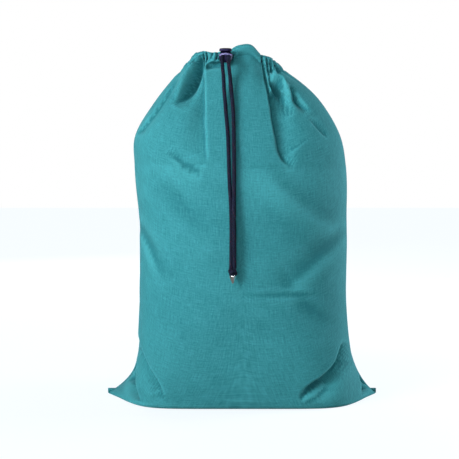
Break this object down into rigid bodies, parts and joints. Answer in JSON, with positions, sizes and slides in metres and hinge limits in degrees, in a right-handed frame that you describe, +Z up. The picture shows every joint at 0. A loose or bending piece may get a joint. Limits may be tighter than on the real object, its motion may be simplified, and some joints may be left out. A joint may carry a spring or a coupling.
{
  "type": "laundry bag",
  "caption": "Two-panel drawcord laundry bag standing filled on its flat base, with hem casing, spring cord lock, knotted cord tails and metal tip.",
  "frame": {"origin": "on the floor under the middle of the bag, without its free cord tails", "axes": "+Z up along the bag's height, -Y out of the front with the cord lock, +X to the right hand of someone facing the front"},
  "size_m": [0.469, 0.2885, 0.6071],
  "materials": {
    "cloth": "plain woven cotton and polyester, matt",
    "thread": "sewing thread and overlocked seam edge",
    "cord": "round braided cord, dark plum and black",
    "tip_metal": "bright folded sheet metal",
    "lock_plastic": "semi-gloss moulded plastic",
    "spring_steel": "drawn spring wire"
  },
  "bodies": {
    "bag": {"front_panel": "cloth", "back_panel": "cloth", "casing_front": "cloth", "casing_back": "cloth", "side_seam_left": "thread", "side_seam_right": "thread", "bottom_seam": "thread", "hem_stitching": "thread", "outlet_stitching": "thread", "drawcord": "cord"},
    "lock": {"lock_barrel": "lock_plastic", "lock_spring": "spring_steel", "cord_exit_left": "cord", "cord_exit_right": "cord"},
    "plunger": {"lock_plunger": "lock_plastic"},
    "tails": {"tail_left": "cord", "tail_right": "cord", "knot": "cord", "cord_tip": "tip_metal"}
  },
  "joints": [
    {"name": "lock_slide", "type": "slide", "parent": "bag", "child": "lock", "axis": [0, -1, 0], "range_m": [0, 0.01]},
    {"name": "plunger_press", "type": "slide", "parent": "lock", "child": "plunger", "axis": [0, 0, -1], "range_m": [0, 0.003], "stiffness_N_per_m": 900, "springref_m": -0.0035, "deforming": ["lock_spring"]},
    {"name": "tails_swing", "type": "hinge", "parent": "lock", "child": "tails", "pos_m": [-0.0285, -0.0758, 0.5682], "axis": [-1, 0, 0], "range_deg": [0, 90]}
  ]
}
